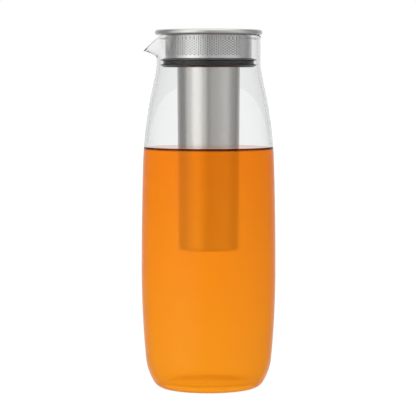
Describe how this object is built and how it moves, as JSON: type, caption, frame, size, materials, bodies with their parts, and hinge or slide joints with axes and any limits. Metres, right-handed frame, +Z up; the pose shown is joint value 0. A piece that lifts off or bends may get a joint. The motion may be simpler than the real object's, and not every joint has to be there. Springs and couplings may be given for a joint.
{
  "type": "glass iced tea jug",
  "caption": "Tall glass jug with a pulled spout, a lift-off steel strainer lid sealed by a lipped silicone ring, and a long leaf infuser hanging from the lid.",
  "frame": {"origin": "centre of the jug's foot, on the surface that it stands on", "axes": "+Z up along the jug's axis; the spout points along -X, so -Y is the side that the picture shows"},
  "size_m": [0.1178, 0.1178, 0.315],
  "materials": {
    "clear_glass": "clear blown glass, polished",
    "lid_steel": "satin brushed stainless steel",
    "strainer_steel": "bright perforated stainless sheet",
    "infuser_steel": "satin stainless sheet with hair-fine etched holes",
    "seal_silicone": "satin black silicone"
  },
  "bodies": {
    "jug": {"glass_jug": "clear_glass"},
    "lid": {"lid_cover": "lid_steel", "lid_plate": "lid_steel", "strainer_band": "strainer_steel", "seal_ring": "seal_silicone", "infuser_holder": "strainer_steel"},
    "infuser": {"infuser_tube": "infuser_steel", "infuser_mouth_ring": "infuser_steel", "infuser_base": "infuser_steel"}
  },
  "joints": [
    {"name": "lid_lift", "type": "slide", "parent": "jug", "child": "lid", "axis": [0, 0, 1], "range_m": [0, 0.2]},
    {"name": "infuser_pull", "type": "slide", "parent": "lid", "child": "infuser", "axis": [0, 0, -1], "range_m": [0, 0.04]}
  ]
}
